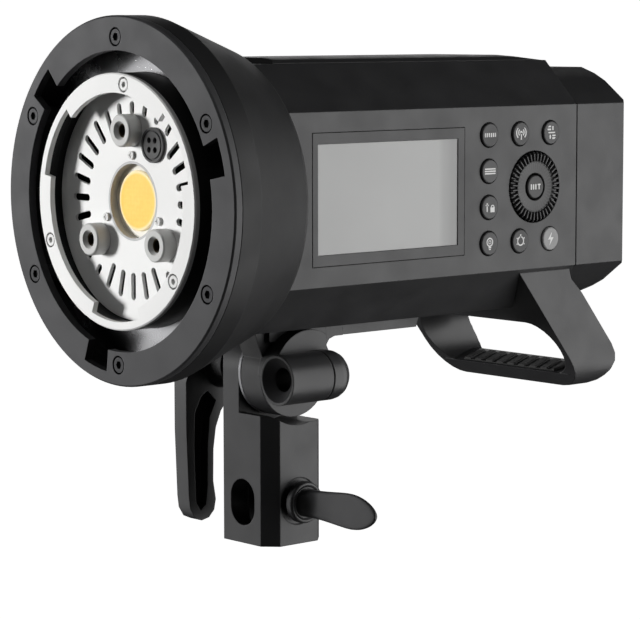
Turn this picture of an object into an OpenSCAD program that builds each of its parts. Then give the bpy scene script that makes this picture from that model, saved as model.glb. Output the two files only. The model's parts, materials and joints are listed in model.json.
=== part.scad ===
// Monolight strobe on a tilting stand bracket.
// Origin: centre of the stand socket's mouth, on the bracket's underside.
// +Z up, -Y towards the subject being lit, +X the side with the display.

/* [Head] */
// Width of the eight-sided body across its side panels
body_w = 82; // [76:1:90]
// Height of the eight-sided body
body_h = 94; // [88:1:100]
// Corner cut of the body section
body_cut = 16.5; // [12:0.5:20]
// Distance from the front ring's face to the battery seam
seam_y = 187; // [180:1:196]
// Distance from the front ring's face to the battery's rear face
rear_y = 215.2; // [208:0.2:224]
// Casing wall thickness
wall = 2.6; // [2:0.2:4]

/* [Front] */
// Outer radius of the accessory ring
ring_r = 64; // [60:0.5:68]
// Opening radius of the accessory ring
ring_hole_r = 52; // [48:0.5:54]
// Outer radius of the bayonet notches in the ring
notch_r = 59.8; // [57:0.2:61]
// Radius of the ring's screw circle
ring_screw_r = 56.6; // [55:0.1:58]
// Outer radius of the white cup flange
cup_r = 44.4; // [42:0.2:47]
// Depth of the white lamp base behind the ring's face
base_y = 7; // [5:0.5:10]
// Radius of the LED opening
led_hole_r = 13.8; // [11:0.5:15]

/* [Controls] */
// Radius of each key
key_r = 4.4; // [4:0.1:5.5]
// Key travel
key_travel = 0.7; // [0.4:0.1:1]
// Radius of the dial
dial_r = 13.2; // [12:0.1:15]

/* [Bracket] */
// Radius of the stand socket
socket_r = 8.1; // [8.05:0.05:8.2]
// Depth of the stand socket
socket_depth = 40; // [35:1:42]
// Height of the tilt axis above the socket's mouth
pivot_z = 62.3; // [56:0.1:66]
// Drop from the lamp axis to the tilt axis
pivot_drop = 64.2; // [62:0.1:70]
// Distance from the front ring's face to the tilt axis
pivot_back = 69.5; // [60:0.5:80]
// Radius of the tilt bolt
bolt_r = 4; // [3:0.5:5]
// Radius of the umbrella shaft hole
umbrella_r = 4.25; // [4:0.05:5]

/* [Hidden] */
$fn = 72;
axis_z = pivot_z + pivot_drop;
front_y = -pivot_back;
half_w = body_w / 2;
half_h = body_h / 2;
panel_h = half_h - body_cut;
run = 0.05;
shell_in_w = body_w - 2 * wall;
shell_in_h = body_h - 2 * wall;
shell_in_cut = body_cut - 0.59 * wall + 0.43;
key_pitch_y = 16.25;
key_pitch_z = 13.3;
key_y = 140.1;
slot_step = 360 / 28;
dial_y = 164.2;
dial_z = 0.2;

// node names

// Lamp frame: front ring's face at Y 0, lamp axis at X 0, Z 0.
module lamp() translate([0, front_y, axis_z]) children();

module along_x(x0, x1) translate([x0, 0, 0]) rotate([90, 0, 90]) linear_extrude(x1 - x0) children();

module along_y(y0, y1) translate([0, y1, 0]) rotate([90, 0, 0]) linear_extrude(y1 - y0) children();

module along_z(z0, z1) translate([0, 0, z0]) linear_extrude(z1 - z0) children();

module rod_x(r, x0, x1, y, z) translate([x0, y, z]) rotate([0, 90, 0]) cylinder(r = r, h = x1 - x0);

module rod_y(r, y0, y1, x, z) translate([x, y0, z]) rotate([-90, 0, 0]) cylinder(r = r, h = y1 - y0);

module rod_z(r, z0, z1, x, y) translate([x, y, z0]) cylinder(r = r, h = z1 - z0);

module cone_y(r0, r1, y0, y1, x, z)
  translate([x, y0, z]) rotate([-90, 0, 0]) cylinder(r1 = r0, r2 = r1, h = y1 - y0);

module cone_x(r0, r1, x0, x1, y, z)
  translate([x0, y, z]) rotate([0, 90, 0]) cylinder(r1 = r0, r2 = r1, h = x1 - x0);

// Profile points are [radius, position along Y].
module turn_y() rotate([-90, 0, 0]) rotate_extrude() children();

module octagon(w, h, c) polygon([
  [w / 2, h / 2 - c], [w / 2 - c, h / 2], [c - w / 2, h / 2], [-w / 2, h / 2 - c],
  [-w / 2, c - h / 2], [c - w / 2, -h / 2], [w / 2 - c, -h / 2], [w / 2, c - h / 2]]);

module slot2d(w, l) union() {
  square([l - w, w], center = true);
  translate([(l - w) / 2, 0]) circle(r = w / 2);
  translate([(w - l) / 2, 0]) circle(r = w / 2);
}

module sector(r, a0, a1) polygon(concat([[0, 0]], [for (i = [0:8])
  [r * cos(a0 + (a1 - a0) * i / 8), r * sin(a0 + (a1 - a0) * i / 8)]]));

// ---- bracket ----

function arc(x, y, r, a0, a1) =
  [for (i = [0:6]) [x + r * cos(a0 + (a1 - a0) * i / 6), y + r * sin(a0 + (a1 - a0) * i / 6)]];

module block_section() polygon([
  [-15.4, -9], [-10.4, -14], [10.4, -14], [15.4, -9],
  [15.4, 9], [10.4, 14], [-10.4, 14], [-15.4, 9]]);

module receiver_block() color([0.1, 0.1, 0.105]) difference() {
  union() {
    intersection() {
      along_z(0, 47.5) block_section();
      along_x(-16, 16) polygon([
        [-15, 0], [15, 0], [15, 41.4], [13.8, 43.5], [11.8, 44.3], [0, 44.3], [0, 47.5], [-15, 47.5]]);
    }
    intersection() {
      along_z(40, 90) block_section();
      union() {
        translate([-15.4, -14, 40]) cube([13.9, 28, pivot_z - 40]);
        rod_x(14, -15.4, -1.5, 0, pivot_z);
      }
    }
  }
  rod_x(18.7, -1.5, 16, 0, pivot_z);
  rod_z(socket_r, -1, socket_depth, 0, 0);
  rod_x(bolt_r + run, -16, 0, 0, pivot_z);
  rod_x(4 + run, 0, 16, 0, 15.7);
  rod_x(8.6, 14.6, 16, 0, 15.7);
  translate([0.4, 0, 15]) along_y(-15, -6) rotate(90) slot2d(13.2, 17);
}

module clamp_shoe() color([0.72, 0.58, 0.3]) rod_x(3.7, 8.3, 10.3, 0, 15.7);

module clamp_screw() color([0.11, 0.11, 0.115]) union() {
  rod_x(4, 10.7, 17.5, 0, 15.7);
  rod_x(7.6, 16.6, 19.6, 0, 15.7);
  cone_x(7.6, 6.6, 19.6, 20.6, 0, 15.7);
  cone_x(5.6, 3, 20.4, 29, 0, 15.7);
  cone_x(3, 1.6, 29, 37, 0, 15.7);
  translate([0, 0, 15.7]) along_y(-1.5, 1.5) polygon([
    [21, 5.2], [26, 5.4], [32, 5.9], [38, 6.4], [44, 6.5], [49, 5.9], [53, 4.5], [55.6, 2.6], [56.6, 0],
    [55.6, -2.6], [53, -4.5], [49, -5.9], [44, -6.5], [38, -6.4], [32, -5.9], [26, -5.4], [21, -5.2]]);
}

module lever_side() polygon([
  [-9.5, 8], [-4, 9.8], [2, 9.6], [7, 7], [9.6, 2], [9.6, -3], [7, -8.5], [2.5, -13], [-1.5, -18],
  [-4, -24], [-5.2, -32], [-5.4, -44], [-4.2, -51], [-5, -55], [-7.5, -57.6], [-11, -58.4],
  [-14.2, -57], [-16.4, -53.5], [-17, -49], [-18, -24], [-18, -6], [-15, 2]]);

module lever_channel() polygon([
  [-8, -10], [-4, -14], [-7, -20], [-8, -30], [-8.2, -46], [-9, -52.5], [-11.5, -54.5],
  [-13.6, -51.5], [-14.4, -30], [-14, -18], [-11, -12]]);

module lock_lever() color([0.12, 0.12, 0.125]) difference() {
  union() {
    translate([0, 0, pivot_z]) along_x(-34, -27) lever_side();
    cone_x(9.6, 8.2, -28, -19, 0, pivot_z);
    rod_x(7, -20, -15.8, 0, pivot_z);
  }
  translate([0, 0, pivot_z]) along_x(-31.2, -26) lever_channel();
  rod_x(bolt_r + run, -31, -15, 0, pivot_z);
}

module tilt_bolt() color([0.62, 0.62, 0.64]) lamp() rod_x(bolt_r, -30.4, 7, pivot_back, -pivot_drop);

// ---- tilting parts under the body ----

module clutch_disc() color([0.5, 0.5, 0.52]) lamp() difference() {
  union() {
    cone_x(14.4, 16.1, -1.1, 0.7, pivot_back, -pivot_drop);
    rod_x(16.1, 0.7, 2, pivot_back, -pivot_drop);
  }
  rod_x(bolt_r + run, -2, 3, pivot_back, -pivot_drop);
}

module lug_side() union() {
  translate([pivot_back, -pivot_drop]) circle(r = 16);
  polygon([
    [50.5, -half_h], [53, -54], [55.2, -58.7], [69.5, -63], [83.8, -58.7], [84.9, -55.4], [86.4, -53.3],
    [89, -52.4], [93, -52.4], [93, -half_h]]);
}

module rail() along_x(-12, 12) polygon([
  [86, -half_h], [133, -half_h], [131, -52.4], [86, -52.4]]);

module web_disc(back) intersection() {
  translate([pivot_back, -pivot_drop]) circle(r = 16.4);
  translate([50, -pivot_drop]) square([back - 50, 17.2]);
}

module tilt_lug() color([0.1, 0.1, 0.105]) lamp() difference() {
  union() {
    along_x(2, 13) lug_side();
    rail();
    along_x(12, 15) web_disc(90);
    along_x(12, 15) translate([56, -52]) square([27, 52 - half_h]);
    difference() {
      along_x(14, 21) web_disc(78);
      rod_y(9.4, 70, 90, 25, -pivot_drop);
    }
    rod_y(9, 51, 70, 25, -pivot_drop);
    rod_y(6.5, 70, 77, 25, -pivot_drop);
    rod_x(8, 12, 25, 61.5, -pivot_drop);
  }
  rod_x(bolt_r + run, 1, 7, pivot_back, -pivot_drop);
  rod_y(umbrella_r, 50, 78, 25, -pivot_drop);
  cone_y(8.2, umbrella_r, 50.9, 54, 25, -pivot_drop);
  for (y = [102, 124]) for (x = [-7, 7]) {
    rod_z(2.1, -60, -40, x, y);
    rod_z(3.6, -60, -49.4, x, y);
  }
}

module umbrella_collar() color([0.12, 0.12, 0.125]) lamp() translate([25, 0, -pivot_drop]) turn_y() polygon([
  [6.5 + run, 70.3], [8.6, 70.3], [9, 70.7], [9, 74.6], [8.7, 76.4], [7.9, 78.1], [6.7, 79.4], [5.4, 80],
  [4.6, 80], [4.6, 77.5], [6.5 + run, 77.5]]);

module lug_screws() color([0.35, 0.35, 0.36]) lamp() for (y = [102, 124]) for (x = [-7, 7]) difference() {
  union() {
    rod_z(2, -49.4, -40.6, x, y);
    rod_z(3.5, -51.3, -49.4, x, y);
  }
  translate([x, y, -52]) cylinder(r = 1.7, h = 1.8, $fn = 6);
}

module chassis_plate() color([0.6, 0.6, 0.62]) lamp() difference() {
  union() {
    translate([-20, 52, -half_h + wall]) cube([40, 104, 2.4]);
    translate([-20, 52, -half_h + wall]) cube([2, 104, 9]);
    translate([18, 52, -half_h + wall]) cube([2, 104, 9]);
  }
  for (y = [102, 124]) for (x = [-7, 7]) rod_z(2.05, -50, -30, x, y);
}

// ---- casing ----

module key_hole(y, z) rod_x(key_r + 0.3, 36, 43, y, z);

module body_shell() color([0.1, 0.1, 0.105]) lamp() difference() {
  along_y(36, seam_y) octagon(body_w, body_h, body_cut);
  along_y(35, seam_y + 1) octagon(shell_in_w, shell_in_h, shell_in_cut);
  translate([36, 53.6, -23.4]) cube([8, 74, 46.8]);
  for (i = [0:3]) key_hole(key_y, 20.2 - i * key_pitch_z);
  for (i = [1:2]) key_hole(key_y + i * key_pitch_y, 20.2);
  for (i = [1:2]) key_hole(key_y + i * key_pitch_y, 20.2 - 3 * key_pitch_z);
  rod_x(dial_r + 0.3, 36, 43, dial_y, dial_z);
  for (i = [0:9]) translate([-43, 60 + i * 4.4, -20]) cube([5, 2.2, 40]);
  translate([-43, 120, -13]) cube([6, 40, 26]);
  for (y = [102, 124]) for (x = [-7, 7]) rod_z(2.1, -50, -40, x, y);
}

module top_cover() color([0.12, 0.12, 0.125]) lamp() intersection() {
  along_x(-30, 30) polygon([[50, half_h], [52.6, half_h + 2.1], [168, half_h + 2.1], [186, half_h]]);
  along_y(40, 190) polygon([
    [-24, half_h], [-21.8, half_h + 1.4], [-17, half_h + 2.1], [17, half_h + 2.1], [21.8, half_h + 1.4],
    [24, half_h]]);
}

module handle_front() difference() {
  polygon(concat(
    [[-39.6, -28], [39.6, -28]], arc(26.8, -66.4, 12.8, 0, -90), arc(-26.8, -66.4, 12.8, -90, -180)));
  polygon(concat(
    arc(26.5, -63.5, 10.5, 0, -90), arc(-26.5, -63.5, 10.5, -90, -180), arc(-26.5, -63.5, 10.5, 180, 90),
    arc(26.5, -63.5, 10.5, 90, 0)));
}

module handle_side() polygon([
  [156.4, -30], [196, -79.2], [205.2, -79.2], [208.6, -77.2], [211.2, -73.6], [212.2, -69.5],
  [211.7, -66.4], [209.6, -62.6], [192.4, -41.6], [186.4, -36], [184.6, -30]]);

module handle_floor() along_x(-34, 34) polygon([
  [191.3, -73.9], [204.4, -71.3], [211, -71.3], [211, -75], [194, -75]]);

module handle() color([0.12, 0.12, 0.125]) lamp() difference() {
  union() {
    intersection() {
      along_y(150, 220) handle_front();
      along_x(-45, 45) handle_side();
    }
    handle_floor();
  }
  along_y(150, 186.6) octagon(body_w, body_h, body_cut);
  along_y(186.5, 222) octagon(body_w + 1, body_h + 1, body_cut);
}

module grip_pad() color([0.07, 0.07, 0.07]) lamp()
  translate([0, 191.3, -73.89]) rotate([atan2(2.6, 13.1), 0, 0]) intersection() {
    translate([-25, 1.6, 0]) cube([50, 11.4, 2]);
    union() {
      translate([-25, 1.6, 0]) cube([50, 11.4, 0.4]);
      for (i = [-4:4]) translate([i * 6, 7.3, 0]) rotate(14) translate([-1.7, -9, 0]) cube([3.4, 18, 1.1]);
    }
  }

module bell_profile() polygon([
  [ring_r, 3.2], [ring_r, 11.5], [53.6, 40], [52, 42.2], [48, 44.4], [43, 45.6], [38, 46],
  [38, 43.2], [42.5, 43], [47, 41.6], [50.6, 38.9], [61.3, 10.9], [61.3, 3.2]]);

module ring_boss() union() {
  rod_y(3.1, 3.1, 11.6, ring_screw_r, 0);
  translate([ring_screw_r, 3.1, -1.2]) cube([5.6, 7.6, 2.4]);
}

module front_bell() color([0.1, 0.1, 0.105]) lamp() difference() {
  union() {
    turn_y() bell_profile();
    for (a = [30:60:330]) rotate([0, a, 0]) ring_boss();
  }
  for (a = [30:60:330]) rotate([0, a, 0]) rod_y(1.5, 3, 9.4, ring_screw_r, 0);
  along_y(35.9, 60) octagon(body_w + 0.02, body_h + 0.02, body_cut);
  translate([-66, 14, -3.4]) cube([12, 17, 6.8]);
}

module mount_ring() color([0.28, 0.28, 0.29]) lamp() difference() {
  turn_y() polygon([
    [ring_hole_r, 0], [ring_r - 0.6, 0], [ring_r, 0.6], [ring_r, 3], [ring_hole_r, 3]]);
  for (a = [17.3, 137.3, 257.3]) along_y(-1, 4) intersection() {
    sector(80, a - 6.3, a + 6.3);
    circle(r = notch_r);
  }
  for (a = [30:60:330]) {
    rod_y(1.6, -1, 4, ring_screw_r * cos(a), ring_screw_r * sin(a));
    rod_y(3.3, -1, 1.6, ring_screw_r * cos(a), ring_screw_r * sin(a));
  }
}

module ring_screws() color([0.2, 0.2, 0.21]) lamp() for (a = [30:60:330])
  translate([ring_screw_r * cos(a), 0, ring_screw_r * sin(a)]) difference() {
    union() {
      rod_y(2.7, 0.2, 1.6, 0, 0);
      rod_y(1.5, 1.6, 9, 0, 0);
    }
    rotate([-90, 0, 0]) cylinder(r = 1.5, h = 1.3, $fn = 6);
  }

module gap_pan() color([0.7, 0.7, 0.72]) lamp() difference() {
  turn_y() polygon([[cup_r + 0.1, 12.4], [59.6, 12.4], [59.6, 13.6], [cup_r + 0.1, 13.6]]);
  translate([-62, 2, -3.4]) cube([8, 14, 6.8]);
}

module release_slider() color([0.13, 0.13, 0.135]) lamp() union() {
  intersection() {
    translate([-66, 14.6, -7]) cube([5, 9, 14]);
    along_z(-8, 8) polygon([[-65.6, 15.4], [-65.6, 21.5], [-63.6, 23.4], [-60.9, 23.4], [-64.2, 14.8]]);
  }
  translate([-63, 16, -2.6]) cube([8, 6, 5.2]);
  translate([-58.6, 6.6, -2]) cube([3, 15.4, 4]);
}

// ---- lamp front ----

module cup_sleeve() color([0.06, 0.06, 0.06]) lamp()
  turn_y() polygon([[43.2, 1.2], [cup_r, 1.2], [cup_r, 33], [43.2, 33]]);

module flange_hole() union() {
  circle(r = 37.6);
  for (a = [30, 150, 270]) intersection() {
    circle(r = 41.4);
    sector(60, a - 19, a + 19);
  }
}

module cup_flange() color([0.86, 0.86, 0.85]) lamp() difference() {
  turn_y() polygon([[30, -1], [cup_r - 0.5, -1], [cup_r, -0.5], [cup_r, 1], [30, 1]]);
  along_y(-2, 2) flange_hole();
  for (a = [82, 202, 322]) {
    rod_y(1.3, -2, 2, 40.8 * cos(a), 40.8 * sin(a));
    rod_y(2.7, -2, 0.7, 40.8 * cos(a), 40.8 * sin(a));
  }
}

module flange_screws() color([0.65, 0.65, 0.66]) lamp() for (a = [82, 202, 322])
  translate([40.8 * cos(a), 0, 40.8 * sin(a)]) difference() {
    union() {
      rod_y(2.1, -0.9, 0.7, 0, 0);
      rod_y(1.2, 0.7, 1, 0, 0);
    }
    translate([0, -1, 0]) rotate([-90, 0, 0]) cylinder(r = 1.1, h = 1, $fn = 6);
  }

module cup_wall() color([0.35, 0.35, 0.36]) lamp() turn_y() polygon([
  [41.5, 1.2], [43.1, 1.2], [43.1, 10.4], [36, 10.4], [36, base_y + 1.2], [41.9, base_y + 1.2],
  [41.9, 4], [41.5, 4]]);

module base_slots() for (i = [0:27]) rotate(i * slot_step) translate([32.2, 0]) slot2d(2.5, 4.6);

module long_slots() for (i = [0:27]) if (long_slot(i * slot_step)) rotate(i * slot_step) translate([29.7, 0])
  slot2d(2.5, 9.6);

function long_slot(a) = min([for (p = [58, 90, 217, 323]) abs(a - p)]) > 15;

module post_spots() {
  translate([0, 24.5]) children();
  translate([-18.6, -14.1]) children();
  translate([18.6, -14.1]) children();
}

module lamp_base() color([0.9, 0.9, 0.89]) lamp() along_y(base_y, base_y + 1.2) difference() {
  circle(r = 41.6);
  circle(r = led_hole_r);
  base_slots();
  long_slots();
  post_spots() circle(r = 4.1);
  translate([12.3, 19.8]) circle(r = 4);
  for (a = [90, 203, 337]) rotate(a) translate([15.9, 0]) circle(r = 1.1);
}

module base_screws() color([0.65, 0.65, 0.66]) lamp() for (a = [90, 203, 337])
  translate([15.9 * cos(a), 0, 15.9 * sin(a)]) difference() {
    union() {
      rod_y(1.5, base_y - 0.9, base_y, 0, 0);
      rod_y(1, base_y, base_y + 3, 0, 0);
    }
    translate([-1, base_y - 1, -0.2]) cube([2, 0.5, 0.4]);
    translate([-0.2, base_y - 1, -1]) cube([0.4, 0.5, 2]);
  }

module at_posts() {
  translate([0, 0, 24.5]) children();
  translate([-18.6, 0, -14.1]) children();
  translate([18.6, 0, -14.1]) children();
}

module tube_posts() color([0.85, 0.85, 0.84]) lamp() at_posts() difference() {
  turn_y() polygon([
    [2.4, 2.8], [3.3, 1.5], [5.2, 1.5], [5.7, 2], [5.7, base_y], [4, base_y], [4, 14], [0, 14],
    [0, 12.4], [2.4, 12.4]]);
}

module post_contacts() color([0.78, 0.68, 0.42]) lamp() at_posts()
  turn_y() polygon([[2, 3], [2.4, 3], [2.4, 12.4], [2, 12.4]]);

module trigger_connector() color([0.05, 0.05, 0.05]) lamp() translate([12.3, 0, 19.8]) difference() {
  union() {
    rod_y(6.1, base_y - 1, base_y, 0, 0);
    rod_y(3.9, base_y - 1, 14, 0, 0);
  }
  turn_y() polygon([[4.7, base_y - 2], [5.3, base_y - 2], [5.3, base_y - 0.6], [4.7, base_y - 0.6]]);
  for (a = [45:90:315]) rod_y(1, base_y - 2, 12, 2.3 * cos(a), 2.3 * sin(a));
}

module led_collar() color([0.6, 0.6, 0.61]) lamp()
  turn_y() polygon([[12.9, base_y], [led_hole_r, base_y], [led_hole_r, 10], [12.9, 10]]);

module led_board() color([0.82, 0.82, 0.8]) lamp() rod_y(13.6, 10, 11.6, 0, 0);

module led_phosphor() color([0.95, 0.72, 0.15]) lamp()
  turn_y() polygon([[0, 9], [10.2, 9.1], [10.6, 9.4], [10.6, 10], [0, 10]]);

module heat_sink() color([0.66, 0.66, 0.68]) lamp() union() {
  rod_y(19.2, 11.6, 14, 0, 0);
  intersection() {
    rod_y(19.2, 12, 34, 0, 0);
    for (i = [-5:5]) translate([i * 3.4 - 0.6, 12, -20]) cube([1.2, 22, 40]);
  }
}

module fan_frame() color([0.08, 0.08, 0.08]) lamp() difference() {
  union() {
    difference() {
      translate([-26, 38, -26]) cube([52, 12, 52]);
      rod_y(24.4, 37, 51, 0, 0);
    }
    for (a = [0:60:120]) rotate([0, a, 0]) translate([-25.5, 48.6, -1.2]) cube([51, 1.4, 2.4]);
    rod_y(8, 48.2, 50, 0, 0);
    rod_y(1.5, 40, 49, 0, 0);
  }
  for (x = [-22.5, 22.5]) for (z = [-22.5, 22.5]) rod_y(1.6, 37, 51, x, z);
}

module fan_rotor() color([0.16, 0.16, 0.16]) lamp() difference() {
  union() {
    rod_y(9.6, 39, 47.6, 0, 0);
    for (a = [0:40:320]) rotate([0, a, 0]) translate([9, 39.6, 0]) rotate([28, 0, 0])
      translate([0, 0, -0.5]) cube([14.4, 7, 1]);
  }
  rod_y(1.5 + run, 39.7, 48, 0, 0);
}

// ---- inside the body ----

module capacitors() color([0.12, 0.14, 0.28]) lamp() for (x = [-21, 9.6]) for (z = [-17, 17])
  turn_cap(x, z);

module turn_cap(x, z) translate([x, 0, z]) turn_y()
  polygon([[0, 56], [14, 56], [14.6, 56.8], [14.6, 111], [14, 112], [0, 112]]);

module main_board() color([0.1, 0.32, 0.16]) lamp() union() {
  translate([27, 56, -36]) cube([1.6, 98, 72]);
  translate([25, 62, -30]) cube([2, 18, 14]);
  translate([24.6, 118, -10]) cube([2.4, 14, 14]);
  translate([22, 116, 14]) cube([5, 12, 16]);
}

module display_board() color([0.1, 0.3, 0.16]) lamp() union() {
  translate([32.6, 54, -28]) cube([1.4, 128, 56]);
  translate([34, 56, -21]) cube([4.2, 69, 42]);
  rod_x(6, 34, 36, dial_y, dial_z);
}

module display_bezel() color([0.08, 0.08, 0.085]) lamp() difference() {
  translate([38.6, 53.8, -23.2]) cube([2.5, 73.6, 46.4]);
  translate([38, 56.2, -19.4]) cube([4, 68, 38.8]);
}

module display_window() color([0.6, 0.62, 0.6, 0.6]) lamp()
  translate([38.7, 56.3, -19.3]) cube([2.1, 67.8, 38.6]);

module trigger_coil() color([0.55, 0.3, 0.12]) lamp() difference() {
  union() {
    rod_y(11, 118, 120, -20, 22);
    rod_y(9, 120, 148, -20, 22);
    rod_y(11, 148, 150, -20, 22);
  }
  rod_y(4, 117, 151, -20, 22);
}

module transformer() color([0.5, 0.4, 0.12]) lamp() union() {
  translate([-32, 118, -34]) cube([44, 6, 30]);
  translate([-28, 124, -30]) cube([36, 22, 22]);
  translate([-32, 146, -34]) cube([44, 6, 30]);
}

// Section cut back on the display side, clear of the display board.
module board_side() intersection() {
  children();
  translate([-50, -60]) square([82.2, 120]);
}

module bulkhead() color([0.09, 0.09, 0.09]) lamp() difference() {
  union() {
    along_y(158, 161) board_side() octagon(shell_in_w, shell_in_h, shell_in_cut);
    translate([-18, 161, -9]) cube([36, 6, 18]);
  }
  for (x = [-12, -4, 4, 12]) translate([x - 2, 162, -6]) cube([4, 6, 12]);
  translate([-39, 157, -14]) cube([4, 5, 28]);
}

module port_block() color([0.16, 0.16, 0.16]) lamp() difference() {
  translate([-38.4, 118, -15]) cube([5, 39, 30]);
  rod_x(3.2, -39, -35, 127, 4);
  rod_x(1.8, -39, -35, 137, 4);
  translate([-39, 143, 0]) cube([4, 8, 4]);
  translate([-39, 143, -8]) cube([4, 9, 4]);
}

module port_cover() color([0.05, 0.05, 0.05]) lamp() union() {
  translate([-41, 122.2, -12.6]) cube([2, 37.4, 25.2]);
  translate([-42, 153, -5]) cube([1.2, 5, 10]);
  rod_z(1.2, -12.6, 12.6, -40.4, 121.8);
}

// ---- controls ----

module key(y, z) union() {
  rod_x(key_r, 37.6, 41.4, y, z);
  cone_x(key_r, key_r - 0.4, 41.4, 41.8, y, z);
  rod_x(key_r + 0.8, 36.2, 37.6, y, z);
}

module key_mode() color([0.13, 0.13, 0.135]) lamp() key(key_y, 20.2);

module key_menu() color([0.13, 0.13, 0.135]) lamp() key(key_y, 20.2 - key_pitch_z);

module key_lock() color([0.13, 0.13, 0.135]) lamp() key(key_y, 20.2 - 2 * key_pitch_z);

module key_lamp() color([0.13, 0.13, 0.135]) lamp() key(key_y, 20.2 - 3 * key_pitch_z);

module key_radio() color([0.13, 0.13, 0.135]) lamp() key(key_y + key_pitch_y, 20.2);

module key_group() color([0.13, 0.13, 0.135]) lamp() key(key_y + 2 * key_pitch_y, 20.2);

module key_power() color([0.13, 0.13, 0.135]) lamp() key(key_y + key_pitch_y, 20.2 - 3 * key_pitch_z);

module key_test() color([0.62, 0.62, 0.62]) lamp() key(key_y + 2 * key_pitch_y, 20.2 - 3 * key_pitch_z);

module key_set() color([0.13, 0.13, 0.135]) lamp() union() {
  rod_x(key_r, 37, 41.4, dial_y, dial_z);
  cone_x(key_r, key_r - 0.4, 41.4, 41.8, dial_y, dial_z);
}

module dial() color([0.09, 0.09, 0.09]) lamp() difference() {
  translate([0, dial_y, dial_z]) rotate([0, 90, 0]) rotate_extrude() polygon([
    [key_r + 0.3, 36.4], [7, 36.4], [7, 38], [dial_r, 38], [dial_r, 41.2], [dial_r - 0.7, 42], [9.9, 42],
    [9.5, 41.3], [key_r + 0.3, 41.3]]);
  for (a = [0:9:351]) translate([0, dial_y, dial_z]) rotate([a, 0, 0])
    translate([41.4, 9.8, -0.4]) cube([1, 4, 0.8]);
}

// ---- battery ----

module battery_section() polygon([
  [half_w, panel_h], [29.8, 38.8], [19.5, 44], [-19.5, 44], [-29.8, 38.8], [-half_w, panel_h],
  [-half_w, -panel_h], [-29.8, -38.8], [-19.5, -44], [19.5, -44], [29.8, -38.8], [half_w, -panel_h]]);

module battery_case() color([0.1, 0.1, 0.105]) lamp() difference() {
  union() {
    intersection() {
      along_y(seam_y + 0.4, rear_y) battery_section();
      along_x(-50, 50) polygon([
        [180, -50], [rear_y - 2.4, -50], [rear_y - 2.4, -44], [rear_y, -41.6], [rear_y, 41.6],
        [rear_y - 2.4, 44], [rear_y - 2.4, 50], [180, 50]]);
      along_z(-50, 50) polygon([
        [-half_w, 180], [half_w, 180], [half_w, rear_y - 1.6], [half_w - 1.6, rear_y],
        [1.6 - half_w, rear_y], [-half_w, rear_y - 1.6]]);
    }
    along_y(169, seam_y + 1) board_side() octagon(75.6, 84, 15.5);
  }
  along_y(189.2, rear_y - 2.4) octagon(70, 72, 10);
  along_y(171.5, 190) intersection() {
    octagon(70, 72, 10);
    translate([-50, -50]) square([80.8, 100]);
  }
  rod_x(5.3, -42, -34, 199, 0);
  rod_y(3.3, rear_y - 4, rear_y + 1, 24, 20);
  rod_y(4.3, 210, rear_y - 2.4, 24, 20);
}

module battery_contacts() color([0.8, 0.66, 0.32]) lamp() for (x = [-12, -4, 4, 12])
  translate([x - 1.5, 168.4, -5]) cube([3, 0.6, 10]);

module battery_cells() color([0.12, 0.3, 0.5]) lamp() for (y = [181, 199.6]) for (z = [-18.7, 0, 18.7])
  if (y < 190 || z != 0) rod_x(9.1, y < 190 ? -32.6 : -32.5, y < 190 ? 30.4 : 32.5, y, z);

module battery_button() color([0.14, 0.14, 0.145]) lamp() union() {
  rod_x(5, -41.4, -34.7, 199, 0);
  rod_x(6.2, -34.7, -33.3, 199, 0);
}

module check_button() color([0.14, 0.14, 0.145]) lamp() union() {
  rod_y(3, rear_y - 2.9, rear_y + 0.3, 24, 20);
  rod_y(4, rear_y - 4, rear_y - 2.9, 24, 20);
}

receiver_block();
clamp_shoe();
clamp_screw();
lock_lever();
tilt_bolt();
clutch_disc();
tilt_lug();
lug_screws();
umbrella_collar();
chassis_plate();
body_shell();
top_cover();
handle();
grip_pad();
front_bell();
mount_ring();
ring_screws();
gap_pan();
release_slider();
cup_sleeve();
cup_flange();
flange_screws();
cup_wall();
lamp_base();
base_screws();
tube_posts();
post_contacts();
trigger_connector();
led_collar();
led_board();
led_phosphor();
heat_sink();
fan_frame();
fan_rotor();
capacitors();
main_board();
display_board();
display_bezel();
display_window();
trigger_coil();
transformer();
bulkhead();
port_block();
port_cover();
dial();
key_set();
key_mode();
key_radio();
key_group();
key_menu();
key_lock();
key_lamp();
key_power();
key_test();
battery_case();
battery_cells();
battery_contacts();
battery_button();
check_button();
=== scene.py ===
import json
import math

import bmesh
import bpy
from mathutils import Matrix, Vector


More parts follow.
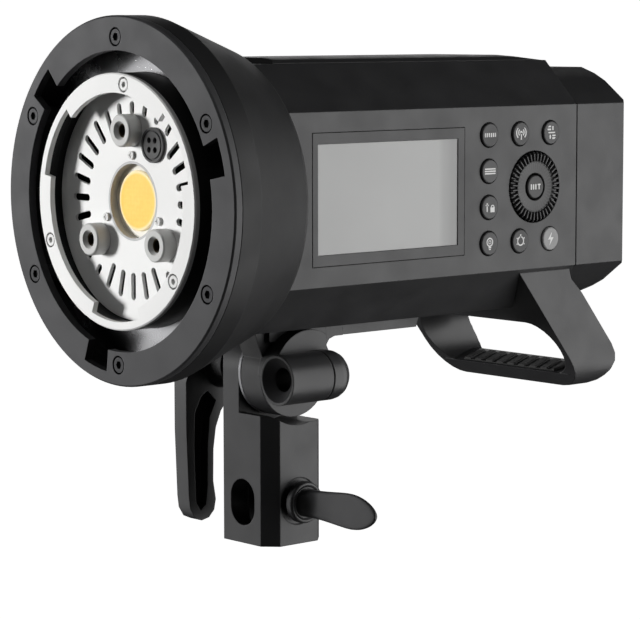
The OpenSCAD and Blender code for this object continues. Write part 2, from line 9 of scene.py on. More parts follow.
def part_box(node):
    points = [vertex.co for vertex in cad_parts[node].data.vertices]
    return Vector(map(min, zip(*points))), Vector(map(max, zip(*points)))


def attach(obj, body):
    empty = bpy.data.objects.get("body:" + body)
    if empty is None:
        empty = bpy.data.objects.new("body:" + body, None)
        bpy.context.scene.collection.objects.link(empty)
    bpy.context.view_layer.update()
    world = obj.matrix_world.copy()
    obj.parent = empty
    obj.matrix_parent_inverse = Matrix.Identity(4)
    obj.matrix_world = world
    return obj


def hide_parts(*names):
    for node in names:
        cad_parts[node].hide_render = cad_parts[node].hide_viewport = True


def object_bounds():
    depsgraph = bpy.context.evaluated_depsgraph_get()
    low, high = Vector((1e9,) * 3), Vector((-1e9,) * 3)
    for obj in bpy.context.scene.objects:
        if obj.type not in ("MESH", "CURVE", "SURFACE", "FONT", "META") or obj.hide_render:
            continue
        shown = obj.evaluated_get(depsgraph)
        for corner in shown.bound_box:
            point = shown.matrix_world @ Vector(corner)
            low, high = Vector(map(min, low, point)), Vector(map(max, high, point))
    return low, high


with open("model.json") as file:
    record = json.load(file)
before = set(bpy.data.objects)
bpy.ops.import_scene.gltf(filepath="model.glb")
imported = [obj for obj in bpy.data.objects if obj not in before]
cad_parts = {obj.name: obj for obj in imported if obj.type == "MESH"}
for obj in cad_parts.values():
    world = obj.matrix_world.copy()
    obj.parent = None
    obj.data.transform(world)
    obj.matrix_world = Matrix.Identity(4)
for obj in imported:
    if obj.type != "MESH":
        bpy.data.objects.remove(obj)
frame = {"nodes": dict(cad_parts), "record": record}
NODES = frame["nodes"]
CAD_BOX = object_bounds()
MM = 0.001

# ---- camera and stage ----
# Angles are in degrees, lengths in metres, and the lens in millimetres. An azimuth is measured
# from the front (-Y) towards the display side (+X).

CAMERA_AZIMUTH = 48.48
CAMERA_ELEVATION = 6.26
CAMERA_ROLL = -0.09
CAMERA_DISTANCE = 0.9733
CAMERA_AIM = Vector((-0.0062, 0.0294, 0.0815))
CAMERA_LENS = 146.87
WORLD_STRENGTH = 0.035
FLOOR_DROP = 0.9
FLOOR_GLOW = 0.92
STAGE_RADIUS = 4.0
STAGE_RISE = 5.0
STAGE_SIDES = 96
STAGE_BEND_STEPS = 24


def direction(azimuth, elevation):
    """Unit vector from the object towards a viewer at that azimuth and elevation."""
    a = math.radians(azimuth)
    e = math.radians(elevation)
    return Vector((math.sin(a) * math.cos(e), -math.cos(a) * math.cos(e), math.sin(e)))


def link(obj):
    """Puts the object into the scene."""
    bpy.context.scene.collection.objects.link(obj)
    return obj


def aim(obj, back, roll=0):
    """Turns a camera or a lamp so that it looks against the direction called back."""
    roll_turn = Matrix.Rotation(math.radians(roll), 4, "Z").to_quaternion()
    obj.rotation_mode = "QUATERNION"
    obj.rotation_quaternion = (-back).to_track_quat("-Z", "Y") @ roll_turn


def make_camera():
    """The camera that was fitted to the photo."""
    data = bpy.data.cameras.new("camera")
    data.lens = CAMERA_LENS
    data.sensor_width = 36
    data.clip_start = 0.05
    data.clip_end = 40
    cam = link(bpy.data.objects.new("camera", data))
    back = direction(CAMERA_AZIMUTH, CAMERA_ELEVATION)
    cam.location = CAMERA_AIM + back * CAMERA_DISTANCE
    aim(cam, back, CAMERA_ROLL)
    bpy.context.scene.camera = cam


def softbox(name, azimuth, elevation, distance, width, height, radiance):
    """An area light of that radiance that faces the middle of the object."""
    data = bpy.data.lights.new(name, "AREA")
    data.shape = "RECTANGLE"
    data.size = width
    data.size_y = height
    data.energy = radiance * math.pi * width * height
    lamp = link(bpy.data.objects.new(name, data))
    back = direction(azimuth, elevation)
    lamp.location = (CAD_BOX[0] + CAD_BOX[1]) / 2 + back * distance
    aim(lamp, back)
    lamp.visible_camera = False
    return lamp


def make_lights():
    """The front has one lamp for matt light and two that only show as reflections."""
    key = softbox("key", azimuth=-42, elevation=4, distance=1.4, width=0.25, height=0.25,
                  radiance=120)
    key.visible_glossy = False
    glint = softbox("glint", azimuth=-66, elevation=5, distance=1.4, width=0.3, height=0.3,
                    radiance=8)
    glint.visible_diffuse = False
    front = softbox("front_fill", azimuth=-46, elevation=-8, distance=1.3, width=1.1, height=1.7,
                    radiance=1.2)
    front.visible_diffuse = False
    softbox("side_softbox", azimuth=133, elevation=-6, distance=1.3, width=1.5, height=2.0,
            radiance=2.6)
    softbox("top_fill", azimuth=20, elevation=50, distance=1.4, width=0.8, height=0.6,
            radiance=0.9)
    softbox("back_softbox", azimuth=228, elevation=6, distance=1.5, width=1.0, height=0.9,
            radiance=0.9)
    world = bpy.data.worlds.new("studio")
    world.use_nodes = True
    background = world.node_tree.nodes["Background"]
    background.inputs["Color"].default_value = (1, 1, 1, 1)
    background.inputs["Strength"].default_value = WORLD_STRENGTH
    bpy.context.scene.world = world
    bpy.context.scene.view_settings.view_transform = "Standard"


def make_stage():
    """A pale floor far below the bracket that curves up into a pale wall all round."""
    bend = STAGE_RADIUS / 2
    profile = [(bend, 0.0)]
    for i in range(1, STAGE_BEND_STEPS + 1):
        t = math.pi / 2 * i / STAGE_BEND_STEPS
        profile.append((bend + bend * math.sin(t), bend * (1 - math.cos(t))))
    profile.append((STAGE_RADIUS, STAGE_RISE))
    bm = bmesh.new()
    rings = skin(bm, [[(r * c, r * s, z - FLOOR_DROP) for c, s in circle(STAGE_SIDES)]
                      for r, z in profile], closed_ends=False)
    bm.faces.new(rings[0])
    mat = bpy.data.materials.new("floor_paper")
    mat.use_nodes = True
    shader = mat.node_tree.nodes["Principled BSDF"]
    shader.inputs["Base Color"].default_value = (0.8, 0.8, 0.8, 1)
    shader.inputs["Roughness"].default_value = 0.9
    shader.inputs["Emission Color"].default_value = (1, 1, 1, 1)
    shader.inputs["Emission Strength"].default_value = FLOOR_GLOW
    floor = smooth_object("studio_floor", bm, mat)
    floor.visible_diffuse = False
    floor.visible_glossy = False
    floor.visible_transmission = False
    floor.visible_shadow = False


# ---- meshes ----


def circle(sides):
    """(cosine, sine) of equal steps round a circle."""
    turn = [2 * math.pi * k / sides for k in range(sides)]
    return [(math.cos(a), math.sin(a)) for a in turn]


def skin(bm, rings, closed_ends=True):
    """Faces between rings of equal length, with the two end rings filled unless told not to."""
    made = [[bm.verts.new(point) for point in ring] for ring in rings]
    count = len(made[0])
    for first, second in zip(made, made[1:]):
        for k in range(count):
            after = (k + 1) % count
            bm.faces.new((first[k], first[after], second[after], second[k]))
    if closed_ends:
        bm.faces.new(made[0])
        bm.faces.new(made[-1])
    return made


def lathe_x(bm, profile, y, z, sides=64):
    """A solid turned about an axis along X, from (position along X, radius) pairs."""
    skin(bm, [[(x, y + r * c, z + r * s) for c, s in circle(sides)] for x, r in profile])


def fillet(x, r, radius, steps=5):
    """Profile points of a rounded edge that ends in a face at x, on a turned solid of radius r."""
    points = []
    for i in range(steps + 1):
        a = math.pi / 2 * i / steps
        points.append((x - radius + radius * math.sin(a), r - radius + radius * math.cos(a)))
    return points


def smooth_object(name, bm, material):
    """An object from a bmesh, smooth all over and in one material."""
    mesh = bpy.data.meshes.new(name)
    bm.to_mesh(mesh)
    bm.free()
    for face in mesh.polygons:
        face.use_smooth = True
    mesh.materials.append(material)
    return link(bpy.data.objects.new(name, mesh))


def finish_piece(name, bm, body, material, replaced=(), sharp_angle=40):
    """Turns a bmesh into a shown piece that rides on a body and may stand for CAD nodes."""
    bmesh.ops.remove_doubles(bm, verts=bm.verts, dist=1e-7)
    bmesh.ops.recalc_face_normals(bm, faces=bm.faces)
    obj = smooth_object(name, bm, material)
    obj.data.set_sharp_from_angle(angle=math.radians(sharp_angle))
    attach(obj, body)
    if replaced:
        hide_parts(*replaced)


def soften(node, width):
    """Real rounded edges on a CAD node, through modifiers that leave its mesh as it is."""
    obj = NODES[node]
    obj.modifiers.new("weld", "WELD").merge_threshold = 1e-6
    planar = obj.modifiers.new("planar", "DECIMATE")
    planar.decimate_type = "DISSOLVE"
    planar.angle_limit = math.radians(1.5)
    bevel = obj.modifiers.new("rounded", "BEVEL")
    bevel.width = width * MM
    bevel.segments = 3
    bevel.limit_method = "ANGLE"
    bevel.angle_limit = math.radians(30)
    bevel.use_clamp_overlap = True
    obj.modifiers.new("normals", "WEIGHTED_NORMAL").keep_sharp = False


def soften_nodes():
    """Rounded edges where they show, with the radius of each in millimetres."""
    for node, width in (("lock_lever", 1.5), ("receiver_block", 0.7), ("tilt_lug", 0.6),
                        ("handle", 1.2), ("battery_case", 1.0), ("body_shell", 0.5),
                        ("top_cover", 0.4), ("grip_pad", 0.25), ("port_cover", 0.3),
                        ("release_slider", 0.4)):
        soften(node, width)


# ---- materials ----
# A noise's scale is about how many of its patches fit in a metre. Most of its values lie between
# NOISE_LOW and NOISE_HIGH. FLAT_DOT and EDGE_DOT say how far a softened edge turns the normal:
# a surface counts as flat at the first and as a fully lightened edge at the second. Edges are
# lightened partly as wear and partly as a painted highlight.

NOISE_LOW, NOISE_HIGH = 0.3, 0.7
TONE_SCALE = 38
SMUDGE_SCALE = 75
SMUDGE_SPREAD = 0.06
WEAR_AND_HIGHLIGHT_SCALE = 420
WEAR_AND_HIGHLIGHT_LOW, WEAR_AND_HIGHLIGHT_HIGH = 0.42, 0.66
WEAR_AND_HIGHLIGHT_LEAST = 0.15
WEAR_AND_HIGHLIGHT_BRIGHTER = 1.9
FLAT_DOT, EDGE_DOT = 0.985, 0.80


class Graph:
    """Short calls for building a material's nodes."""

    def __init__(self, name):
        self.mat = bpy.data.materials.new(name)
        self.mat.use_nodes = True
        self.tree = self.mat.node_tree
        self.shader = self.tree.nodes["Principled BSDF"]

    def node(self, kind, **values):
        """A new node with those properties."""
        made = self.tree.nodes.new(kind)
        for key, value in values.items():
            setattr(made, key, value)
        return made

    def join(self, out, into):
        """Wires an output, or sets a plain value, into an input socket."""
        if hasattr(out, "is_linked"):
            self.tree.links.new(out, into)
        else:
            into.default_value = (*out, 1) if isinstance(out, tuple) else out

    def place(self):
        """The object's own coordinates, which are the shared frame's."""
        return self.node("ShaderNodeTexCoord").outputs["Object"]

    def noise(self, scale, detail, stretch=(1, 1, 1)):
        """Cloudy values, which a stretch along the axes turns into streaks."""
        mapping = self.node("ShaderNodeMapping")
        mapping.inputs["Scale"].default_value = stretch
        self.join(self.place(), mapping.inputs["Vector"])
        tex = self.node("ShaderNodeTexNoise")
        tex.inputs["Scale"].default_value = scale
        tex.inputs["Detail"].default_value = detail
        self.join(mapping.outputs["Vector"], tex.inputs["Vector"])
        return tex.outputs["Fac"]

    def remap(self, value, low, high, to_low, to_high):
        """The value moved from one range to another, and held inside it."""
        made = self.node("ShaderNodeMapRange")
        limits = {"From Min": low, "From Max": high, "To Min": to_low, "To Max": to_high}
        for key, number in limits.items():
            made.inputs[key].default_value = number
        self.join(value, made.inputs["Value"])
        return made.outputs["Result"]

    def spread(self, noise, to_low, to_high):
        """A noise spread out between two values."""
        return self.remap(noise, NOISE_LOW, NOISE_HIGH, to_low, to_high)

    def times(self, a, b):
        """The product of two values."""
        made = self.node("ShaderNodeMath", operation="MULTIPLY")
        self.join(a, made.inputs[0])
        self.join(b, made.inputs[1])
        return made.outputs[0]

    def blend(self, factor, a, b):
        """Colour a, or b where the factor is 1."""
        made = self.node("ShaderNodeMix", data_type="RGBA")
        color_a, color_b = (s for s in made.inputs if s.type == "RGBA")
        self.join(factor, made.inputs["Factor"])
        self.join(a, color_a)
        self.join(b, color_b)
        return next(s for s in made.outputs if s.type == "RGBA")

    def edge(self, radius):
        """(rounded normal, mask that is 1 on sharp edges) for edges softened by that radius."""
        bevel = self.node("ShaderNodeBevel", samples=6)
        bevel.inputs["Radius"].default_value = radius
        normal = self.node("ShaderNodeNewGeometry").outputs["Normal"]
        dot = self.node("ShaderNodeVectorMath", operation="DOT_PRODUCT")
        self.join(bevel.outputs["Normal"], dot.inputs[0])
        self.join(normal, dot.inputs[1])
        mask = self.remap(dot.outputs["Value"], FLAT_DOT, EDGE_DOT, 0.0, 1.0)
        return bevel.outputs["Normal"], mask

    def bump(self, height, distance, normal=None):
        """A normal bent by a height of at most that distance."""
        made = self.node("ShaderNodeBump")
        made.inputs["Strength"].default_value = 1.0
        made.inputs["Distance"].default_value = distance
        self.join(height, made.inputs["Height"])
        if normal is not None:
            self.join(normal, made.inputs["Normal"])
        return made.outputs["Normal"]


def shade(color, factor):
    """The colour made lighter or darker."""
    return tuple(min(1.0, c * factor) for c in color)


def finish_material(name, color, rough, metal=0.0, grain=0.25, grain_depth=0.02, edge=0.35,
                    wear_and_highlight=0.25, wear_and_highlight_color=None, tone=0.08, streak=None, coat=0.0, specular=0.5):
    """A surface with uneven tone and gloss, fine grain, and soft edges with light wear and a
    painted highlight.

    The grain's size and depth and the edge's radius are in millimetres. A streak is a noise's
    scale along each axis, and takes the place of the grain on brushed or turned metal.
    """
    g = Graph(name)
    normal, mask = g.edge(edge * MM)
    clouds = g.spread(g.noise(TONE_SCALE, 4), 0, 1)
    base = g.blend(clouds, shade(color, 1 - tone), shade(color, 1 + tone))
    # Edges lightened in noisy patches: worn paint in part and a painted highlight in part.
    if wear_and_highlight:
        patches = g.remap(g.noise(WEAR_AND_HIGHLIGHT_SCALE, 3), WEAR_AND_HIGHLIGHT_LOW, WEAR_AND_HIGHLIGHT_HIGH, WEAR_AND_HIGHLIGHT_LEAST, 1.0)
        amount = g.times(g.times(mask, patches), wear_and_highlight)
        base = g.blend(amount, base, wear_and_highlight_color or shade(color, WEAR_AND_HIGHLIGHT_BRIGHTER))
    g.join(base, g.shader.inputs["Base Color"])
    smudges = g.spread(g.noise(SMUDGE_SCALE, 5), rough - SMUDGE_SPREAD, rough + SMUDGE_SPREAD)
    g.join(smudges, g.shader.inputs["Roughness"])
    fine = g.noise(1.0, 2, streak) if streak else g.noise(1 / (grain * MM) * 0.5, 3)
    g.join(g.bump(fine, grain_depth * MM, normal), g.shader.inputs["Normal"])
    g.shader.inputs["Metallic"].default_value = metal
    g.shader.inputs["Specular IOR Level"].default_value = specular
    g.shader.inputs["Coat Weight"].default_value = coat
    return g.mat


def phosphor_material():
    """Amber silicone over the diode array, with a faint grid of diodes, a cream rim and a faint
    painted glow.
    """
    amber, light_amber, cream = (0.86, 0.52, 0.1), (0.9, 0.6, 0.15), (0.85, 0.72, 0.45)
    diodes_per_metre = 620
    g = Graph("led_silicone")
    low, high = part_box("led_phosphor")
    radius = (high.x - low.x) / 2
    mapping = g.node("ShaderNodeMapping")
    mapping.inputs["Location"].default_value = -(low + high) / 2
    g.join(g.place(), mapping.inputs["Vector"])
    length = g.node("ShaderNodeVectorMath", operation="LENGTH")
    g.join(mapping.outputs["Vector"], length.inputs[0])
    rim = g.remap(length.outputs["Value"], radius * 0.86, radius * 0.96, 0, 1)
    mottle = g.remap(g.noise(900, 3), 0.4, 0.7, 0, 0.3)
    color = g.blend(rim, g.blend(mottle, amber, light_amber), cream)
    g.join(color, g.shader.inputs["Base Color"])
    grid = g.node("ShaderNodeTexVoronoi")
    grid.inputs["Scale"].default_value = diodes_per_metre
    grid.inputs["Randomness"].default_value = 0.0
    g.join(g.place(), grid.inputs["Vector"])
    g.join(g.bump(grid.outputs["Distance"], 0.08 * MM), g.shader.inputs["Normal"])
    g.join(g.spread(g.noise(120, 3), 0.28, 0.42), g.shader.inputs["Roughness"])
    g.shader.inputs["Subsurface Weight"].default_value = 0.15
    g.shader.inputs["Subsurface Radius"].default_value = (3 * MM, 1.5 * MM, 0.5 * MM)
    # Painted glow: the unlit silicone gives off a little light of its own colour.
    g.join(color, g.shader.inputs["Emission Color"])
    g.shader.inputs["Emission Strength"].default_value = 0.2
    return g.mat


def screen_material():
    """Grey liquid-crystal panel under clear plastic: an even field that darkens to the rear."""
    field = ((0.0, 0.33), (0.02, 0.365), (0.5, 0.385), (0.86, 0.375))
    rear_strip = ((0.90, 0.30), (0.93, 0.27), (0.96, 0.235), (1.0, 0.23))
    g = Graph("screen")
    low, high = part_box("display_window")
    split = g.node("ShaderNodeSeparateXYZ")
    g.join(g.place(), split.inputs[0])
    ramp = g.node("ShaderNodeValToRGB")
    stops = field + rear_strip
    while len(ramp.color_ramp.elements) < len(stops):
        ramp.color_ramp.elements.new(0.5)
    for element, (place, grey) in zip(ramp.color_ramp.elements, stops):
        element.position = place
        element.color = (grey, grey * 1.005, grey * 0.99, 1)
    g.join(g.remap(split.outputs["Y"], low.y, high.y, 0, 1), ramp.inputs["Fac"])
    haze = g.remap(g.noise(30, 3), 0.35, 0.7, 0, 0.12)
    panel = g.blend(haze, ramp.outputs["Color"], (0.3, 0.3, 0.3))
    g.join(panel, g.shader.inputs["Base Color"])
    g.join(g.spread(g.noise(60, 4), 0.32, 0.42), g.shader.inputs["Roughness"])
    g.join(g.bump(g.noise(2500, 2), 0.003 * MM), g.shader.inputs["Normal"])
    g.shader.inputs["Coat Weight"].default_value = 0.35
    g.shader.inputs["Coat Roughness"].default_value = 0.12
    return g.mat


BLACK = (0.018, 0.018, 0.019)
SOFT_BLACK = (0.014, 0.014, 0.0145)
FINISHES = {
    "casing_black": dict(color=BLACK, rough=0.46, grain=0.35, grain_depth=0.018, edge=0.45),
    "cover_black": dict(color=(0.022, 0.022, 0.023), rough=0.42, grain=0.35, edge=0.45),
    "battery_black": dict(color=(0.02, 0.02, 0.021), rough=0.47, grain=0.35, edge=0.5),
    "bell_black": dict(color=SOFT_BLACK, rough=0.5, grain=0.3, grain_depth=0.015, edge=0.5,
                       specular=0.3),
    "ring_grey": dict(color=(0.042, 0.042, 0.044), rough=0.5, metal=0.2, grain=0.2,
                      grain_depth=0.012, edge=0.3, wear_and_highlight=0.5, wear_and_highlight_color=(0.3, 0.3, 0.31)),
    "bracket_black": dict(color=(0.02, 0.02, 0.021), rough=0.44, metal=0.1, grain=0.3, edge=0.6,
                          wear_and_highlight=0.35, wear_and_highlight_color=(0.16, 0.16, 0.165)),
    "lever_black": dict(color=BLACK, rough=0.4, grain=0.5, grain_depth=0.012, edge=0.5),
    "shoe_brass": dict(color=(0.66, 0.47, 0.19), rough=0.35, metal=1.0, streak=(900, 900, 60)),
    "bolt_steel": dict(color=(0.5, 0.5, 0.51), rough=0.32, metal=1.0, streak=(60, 900, 900)),
    # Painted highlight: the clutch disc's edges are lightened almost to white along its chamfered
    # rim.
    "disc_grey": dict(color=(0.24, 0.24, 0.25), rough=0.34, metal=0.9, edge=0.5, wear_and_highlight=0.8,
                      wear_and_highlight_color=(0.7, 0.7, 0.72)),
    "screw_black": dict(color=(0.035, 0.035, 0.037), rough=0.33, metal=0.7, grain=0.15,
                        edge=0.15, wear_and_highlight=0.6, wear_and_highlight_color=(0.25, 0.25, 0.26)),
    "screw_bright": dict(color=(0.7, 0.7, 0.69), rough=0.45, metal=0.2, grain=0.15, edge=0.12),
    "chassis_alu": dict(color=(0.56, 0.56, 0.57), rough=0.4, metal=1.0, streak=(900, 60, 900)),
    "grip_rubber": dict(color=(0.028, 0.028, 0.028), rough=0.7, grain=0.3, grain_depth=0.03,
                        edge=0.2),
    "pan_silver": dict(color=(0.42, 0.42, 0.43), rough=0.27, metal=0.95, streak=(40, 900, 40),
                       grain_depth=0.01, edge=0.2),
    "sleeve_black": dict(color=(0.03, 0.03, 0.03), rough=0.35, metal=0.6, grain=0.3, edge=0.2),
    "flange_white": dict(color=(0.8, 0.8, 0.79), rough=0.5, grain=0.3, grain_depth=0.01,
                         edge=0.2, tone=0.03, wear_and_highlight=0, specular=0.2),
    "wall_grey": dict(color=(0.013, 0.013, 0.014), rough=0.32, metal=0.6, grain=0.4,
                      grain_depth=0.008, edge=0.2),
    "base_white": dict(color=(0.84, 0.84, 0.83), rough=0.55, grain=0.3, grain_depth=0.012,
                       edge=0.2, tone=0.03, wear_and_highlight=0, specular=0.1),
    "post_white": dict(color=(0.5, 0.5, 0.49), rough=0.38, grain=0.3, grain_depth=0.01,
                       edge=0.3, tone=0.05, wear_and_highlight=0),
    # Painted shade: the contacts are far darker than brass, standing in for the shade deep inside
    # the post holes.
    "contact_brass": dict(color=(0.07, 0.052, 0.03), rough=0.4, metal=0.9, grain=0.3),
    "connector_black": dict(color=(0.045, 0.045, 0.045), rough=0.45, grain=0.3),
    "collar_grey": dict(color=(0.5, 0.5, 0.5), rough=0.45, metal=0.2, grain=0.3, edge=0.2),
    "led_white": dict(color=(0.82, 0.8, 0.74), rough=0.4, grain=0.3, wear_and_highlight=0),
    "sink_alu": dict(color=(0.035, 0.035, 0.037), rough=0.45, metal=0.6, streak=(900, 60, 900)),
    "fan_black": dict(color=(0.022, 0.022, 0.022), rough=0.4, grain=0.4),
    "cap_blue": dict(color=(0.03, 0.045, 0.14), rough=0.32, grain=0.6, coat=0.4, wear_and_highlight=0.1),
    "board_green": dict(color=(0.02, 0.13, 0.045), rough=0.35, grain=0.6, coat=0.3, wear_and_highlight=0.1),
    "bezel_black": dict(color=BLACK, rough=0.46, grain=0.3, grain_depth=0.01, edge=0.15,
                        wear_and_highlight=0.1),
    "copper_coil": dict(color=(0.6, 0.24, 0.09), rough=0.3, metal=1.0, streak=(60, 2200, 60),
                        grain_depth=0.08),
    "core_brown": dict(color=(0.28, 0.19, 0.06), rough=0.5, grain=0.8, grain_depth=0.04),
    "port_black": dict(color=(0.03, 0.03, 0.03), rough=0.5, grain=0.3),
    "cover_rubber": dict(color=(0.014, 0.014, 0.014), rough=0.65, grain=0.3, grain_depth=0.03),
    "dial_black": dict(color=(0.016, 0.016, 0.0165), rough=0.42, grain=0.3, edge=0.12,
                       wear_and_highlight=0.15),
    "key_black": dict(color=(0.02, 0.02, 0.021), rough=0.48, grain_depth=0.012, edge=0.2,
                      wear_and_highlight=0.1),
    "key_clear": dict(color=(0.24, 0.24, 0.24), rough=0.4, grain=0.3, grain_depth=0.01,
                      edge=0.2, tone=0.12, wear_and_highlight=0),
    "cells_blue": dict(color=(0.03, 0.12, 0.3), rough=0.32, grain=0.8, coat=0.4, wear_and_highlight=0.1),
}
MATERIALS = {name: finish_material(name, **finish) for name, finish in FINISHES.items()}
MATERIALS["led_yellow"] = phosphor_material()
MATERIALS["window_grey"] = screen_material()
MARK_WHITE = finish_material("mark_white", color=(0.72, 0.72, 0.71), rough=0.5, grain=0.12,
                             grain_depth=0.006, edge=0.03, tone=0.05, wear_and_highlight=0)


def dress_nodes():
    """Each CAD node takes the material of its slot in the record."""
    for entry in frame["record"]["subparts"]:
        node = NODES[entry["node"]]
        node.data.materials.clear()
        node.data.materials.append(MATERIALS[entry["material_slot"]])


# ---- keys ----
# A mark is a list of outlines. Their (y, z) points are millimetres from the middle of the key,
# with y to the rear and z up. All of them are plain signs that stand in for the real labels.

KEY_FLANGE = 0.8 * MM
KEY_EDGE = 0.7 * MM
DISH_DEPTH = 0.12 * MM
MARK_RISE = 0.06 * MM


def bar(y0, z0, y1, z1, width):
    """Outline of a straight stroke."""
    start, end = Vector((y0, z0)), Vector((y1, z1))
    along = (end - start).normalized() * (width / 2)
    side = Vector((-along.y, along.x))
    return [tuple(start + side), tuple(start - side), tuple(end - side), tuple(end + side)]


def arc(y, z, radius, angles):
    """Points of an arc."""
    return [(y + radius * math.cos(a), z + radius * math.sin(a)) for a in angles]


def arc_stroke(y, z, radius, width, start, end, steps=20):
    """Outline of a curved stroke from one angle to another, in degrees."""
    angles = [math.radians(start + (end - start) * i / steps) for i in range(steps + 1)]
    return arc(y, z, radius + width / 2, angles) + arc(y, z, radius - width / 2, angles)[::-1]


def dot(y, z, radius):
    """Outline of a filled dot."""
    return [(y + radius * c, z + radius * s) for c, s in circle(20)]


def ring_mark(y, z, radius, width):
    """Two half rings, so that each outline stays simple."""
    return [arc_stroke(y, z, radius, width, a, a + 180) for a in (0, 180)]


def ray(degrees, inner, outer, width):
    """Outline of a stroke that points away from the middle of the key."""
    c, s = math.cos(math.radians(degrees)), math.sin(math.radians(degrees))
    return bar(inner * c, inner * s, outer * c, outer * s, width)


KEY_MARKS = {
    "key_mode": [bar(1.1 * i - 2.75, -0.75, 1.1 * i - 2.75, 0.75, 0.65) for i in range(6)],
    "key_radio": [bar(0, -2.2, 0, 0.4, 0.6), dot(0, 0.5, 0.65)]
                 + [arc_stroke(0, 0.5, r, 0.55, a - 48, a + 48)
                    for r in (1.4, 2.5) for a in (0, 180)],
    "key_group": [bar(-2.2, 2.3, -0.3, 2.3, 0.6), bar(-2.2, 1.2, -0.3, 1.2, 0.6),
                  bar(0.7, 2.4, 0.7, 0.9, 0.7), bar(-1.7, 0, 1.9, 0, 0.5),
                  bar(-0.7, -0.8, -0.7, -2.3, 0.7), bar(0.4, -1.1, 2.1, -1.1, 0.6),
                  bar(0.4, -2.1, 2.1, -2.1, 0.6)],
    "key_menu": [bar(-2.8, v, 2.8, v, 0.5) for v in (-0.85, 0, 0.85)],
    "key_lock": [bar(0.2, -0.9, 2.4, -0.9, 1.8), arc_stroke(1.3, 0, 0.75, 0.4, 0, 180),
                 bar(-1.5, -1.6, -1.5, 1.6, 0.6), bar(-2.3, 0.8, -0.7, 0.8, 0.5)],
    "key_lamp": ring_mark(0, 0.45, 1.45, 0.5) + ring_mark(0, 0.45, 0.6, 0.3)
                + [bar(-0.7, -1.55, 0.7, -1.55, 0.5), bar(-0.5, -2.2, 0.5, -2.2, 0.4)],
    "key_power": ring_mark(0, 0, 1.55, 0.5) + [bar(0, 1.3, 0, 2.5, 0.6)]
                 + [ray(degrees, 1.9, 2.4, 0.5) for degrees in (30, 150, 210, 330)],
    "key_set": [bar(1.2 * i - 2.3, -1, 1.2 * i - 2.3, 1, 0.65) for i in range(3)]
               + [bar(1.1, 0.8, 2.6, 0.8, 0.5), bar(1.85, -1, 1.85, 0.6, 0.6)],
    "key_test": [[(0.6, 2.6), (-1.5, -0.3), (-0.1, -0.3), (-0.7, -2.6), (1.5, 0.5), (0.1, 0.5)]],
}


def make_key(node):
    """A key's cap with a rounded edge and a shallow dish, and its white mark."""
    low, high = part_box(node)
    y, z = (low.y + high.y) / 2, (low.z + high.z) / 2
    radius = (high.z - low.z) / 2 - (0 if node == "key_set" else KEY_FLANGE)
    top = high.x
    floor = top - DISH_DEPTH
    slope = [(top - DISH_DEPTH * 0.6, radius * 0.62), (floor, radius * 0.3),
             (floor, radius * 0.02)]
    short_name = node.removeprefix("key_")
    slot_name = "key_clear" if node == "key_test" else "key_black"
    bm = bmesh.new()
    lathe_x(bm, [(low.x, radius)] + fillet(top, radius, KEY_EDGE) + slope, y, z)
    finish_piece("cap_" + short_name, bm, node, MATERIALS[slot_name], [node])
    bm = bmesh.new()
    for outline in KEY_MARKS[node]:
        skin(bm, [[(x, y + u * MM, z + v * MM) for u, v in outline]
                  for x in (floor - DISH_DEPTH, floor + MARK_RISE)])
    finish_piece("mark_" + short_name, bm, node, MARK_WHITE, sharp_angle=20)


# ---- dial ----

DIAL_RIBS = 40
STEPS_PER_RIB = 8
DIAL_HOLE = 5 * MM
DIAL_BACK_HOLE = 7 * MM
DIAL_BACK = 1.6 * MM
DIAL_FLAT = 9 * MM
DIAL_FLAT_DROP = 0.6 * MM
GROOVE_DEPTH = 1.3 * MM
NOTCH_DEPTH = 0.7 * MM


def make_dial():
    """The dial's ring: a flat centre, and ribs round its edge with deep grooves between them."""
    low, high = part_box("dial")
    y, z = (low.y + high.y) / 2, (low.z + high.z) / 2
    outer = (high.z - low.z) / 2
    top, back = high.x, low.x + DIAL_BACK
    flat = top - DIAL_FLAT_DROP
    # Each station has a radius, a place along X, and how much of a groove's depth is taken from
    # its height and of a notch's depth from its radius.
    centre = [(DIAL_HOLE, top - 3 * MM, 0, 0), (DIAL_HOLE, flat - 0.3 * MM, 0, 0),
              (DIAL_HOLE + 0.3 * MM, flat, 0, 0), (DIAL_FLAT, flat, 0, 0)]
    ribs = [(DIAL_FLAT + 0.5 * MM, top - 0.25 * MM, 0.1, 0), (DIAL_FLAT + 0.9 * MM, top, 0.9, 0),
            (outer - 0.9 * MM, top, 1, 0), (outer - 0.2 * MM, top - 0.5 * MM, 1, 0.6),
            (outer, top - 1.2 * MM, 0.8, 1), (outer, back, 0.2, 1)]
    rear = [(outer - 1 * MM, back, 0, 0), (DIAL_BACK_HOLE, back, 0, 0),
            (DIAL_BACK_HOLE, low.x, 0, 0), (DIAL_HOLE, low.x, 0, 0)]
    stations = centre + ribs + rear
    count = DIAL_RIBS * STEPS_PER_RIB
    grooves = [min(1.0, max(0.0, 0.5 + 1.3 * math.cos(2 * math.pi * k / STEPS_PER_RIB)))
               for k in range(count)]
    rings = []
    for radius, x, drop, notch in stations + stations[:1]:
        ring = []
        for (c, s), groove in zip(circle(count), grooves):
            r = radius - notch * groove * NOTCH_DEPTH
            ring.append((x - drop * groove * GROOVE_DEPTH, y + r * c, z + r * s))
        rings.append(ring)
    bm = bmesh.new()
    skin(bm, rings, closed_ends=False)
    finish_piece("dial_ring", bm, "dial", MATERIALS["dial_black"], ["dial"], 30)


# ---- clamp screw ----

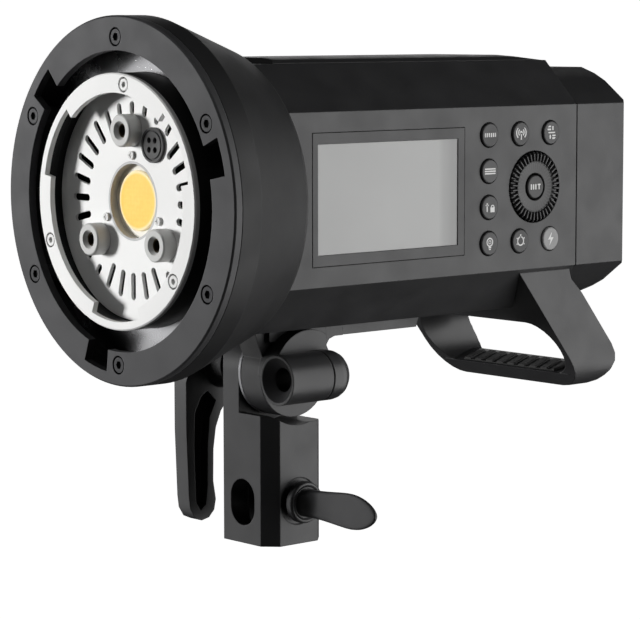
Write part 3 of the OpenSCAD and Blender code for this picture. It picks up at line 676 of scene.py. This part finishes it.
SHAFT_RADIUS = 4 * MM
SHAFT_LENGTH = 6 * MM
HUB_FACE = 9.9 * MM
WING_SIDES = 56
WING_STEPS = 48
WING_HALF_HEIGHT = 4.9 * MM
WING_BULGE = 1.65 * MM
WING_HALF_THICKNESS = 1.15 * MM
NECK_THICKENING = 3.6 * MM
RIDGE_HEIGHT = 1.9 * MM
RIDGE_WIDTH = 1.5 * MM


def hump(t, middle, width):
    """A smooth bump of height 1."""
    return math.exp(-((t - middle) / width) ** 2)


def rounded(value, power):
    """A cosine or sine bent so that the outline it draws is fuller than an ellipse."""
    return math.copysign(abs(value) ** power, value)


def make_paddle():
    """The clamp screw's hub and its rounded wing, which thins out from a round neck."""
    low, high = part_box("clamp_screw")
    y, z = (low.y + high.y) / 2, (low.z + high.z) / 2
    hub = (high.z - low.z) / 2
    shoulder = low.x + SHAFT_LENGTH
    face = low.x + HUB_FACE
    bm = bmesh.new()
    shaft = [(low.x, SHAFT_RADIUS), (shoulder, SHAFT_RADIUS), (shoulder, hub - 0.4 * MM),
             (shoulder + 0.4 * MM, hub)]
    recess = [(face - 1.3 * MM, 5.6 * MM), (face - 1.3 * MM, 1 * MM)]
    lathe_x(bm, shaft + fillet(face - 0.6 * MM, hub, 1.1 * MM) + recess, y, z)
    root = face - 1.5 * MM
    rings = []
    for i in range(WING_STEPS + 1):
        t = min(0.9995, math.sin(math.pi / 2 * i / WING_STEPS))
        tip = (1 - max(0.0, (t - 0.55) / 0.45) ** 2.4) ** 0.5
        half_z = (WING_HALF_HEIGHT + WING_BULGE * hump(t, 0.72, 0.42)) * tip
        thick = (WING_HALF_THICKNESS + NECK_THICKENING * hump(t, 0, 0.13)) * tip ** 0.35
        ridge = RIDGE_HEIGHT * max(0.0, 1 - t / 0.42) ** 0.6
        ring = []
        for c, s in circle(WING_SIDES):
            side, up = rounded(c, 0.75) * thick, rounded(s, 0.85) * half_z
            raised = max(0.0, ridge - abs(side)) * hump(up, 0, RIDGE_WIDTH)
            ring.append((root + (high.x - root) * t, y + side + math.copysign(raised, c), z + up))
        rings.append(ring)
    skin(bm, rings)
    finish_piece("clamp_paddle", bm, "screw", MATERIALS["lever_black"],
                 ["clamp_screw"], 35)


make_camera()
make_lights()
make_stage()
dress_nodes()
soften_nodes()
for key in sorted(n for n in NODES if n.startswith("key_")):
    make_key(key)
make_dial()
make_paddle()
